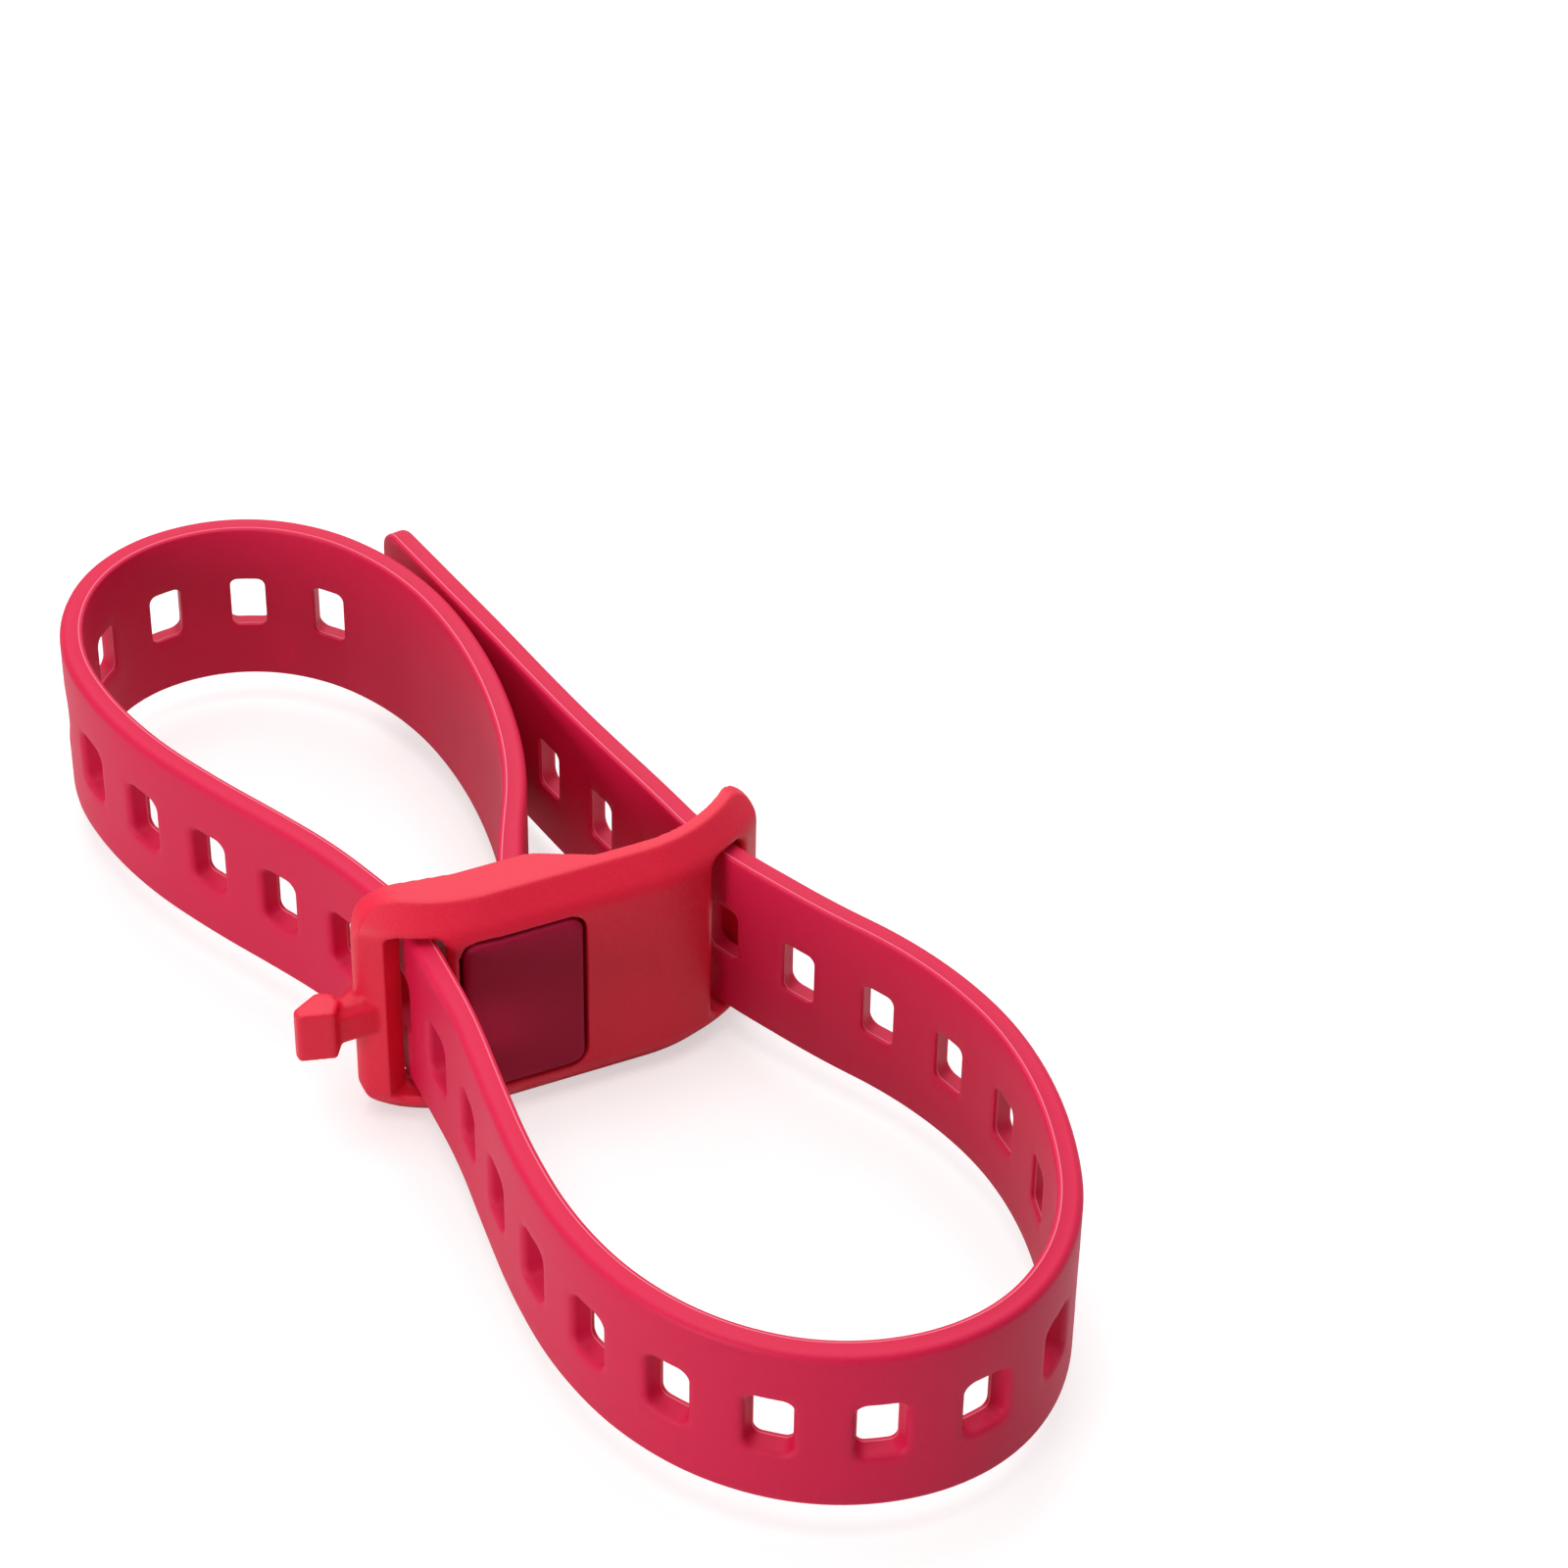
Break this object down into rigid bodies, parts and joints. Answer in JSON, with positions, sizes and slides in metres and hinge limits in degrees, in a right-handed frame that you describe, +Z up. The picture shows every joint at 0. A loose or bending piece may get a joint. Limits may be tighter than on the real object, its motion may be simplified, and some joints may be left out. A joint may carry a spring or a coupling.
{
  "type": "luggage strap",
  "caption": "Elastic perforated strap looped twice through a slotted rigid buckle plate with a T-shaped hook, its head seated in the plate and its tail left free.",
  "frame": {"origin": "on the buckle plate's underside, midway between the plate's two ends", "axes": "+Z up across the strap's width, +Y back along the strap's long way towards the small loop, the plate's bowed front faces -Y, +X to the right from the hook towards the right slot"},
  "size_m": [0.0677, 0.1443, 0.028],
  "materials": {
    "plate": "satin red moulded plastic",
    "strap": "satin red elastomer"
  },
  "bodies": {
    "buckled_strap": {"buckle_plate": "plate", "strap": "strap"},
    "tail": {"strap_tail": "strap"}
  },
  "joints": [
    {"name": "tail_flex", "type": "hinge", "parent": "buckled_strap", "child": "tail", "pos_m": [0.01437, 0.01485, 0.014], "axis": [0, 0, -1], "range_deg": [0, 35], "stiffness_Nm_per_rad": 0.009}
  ]
}
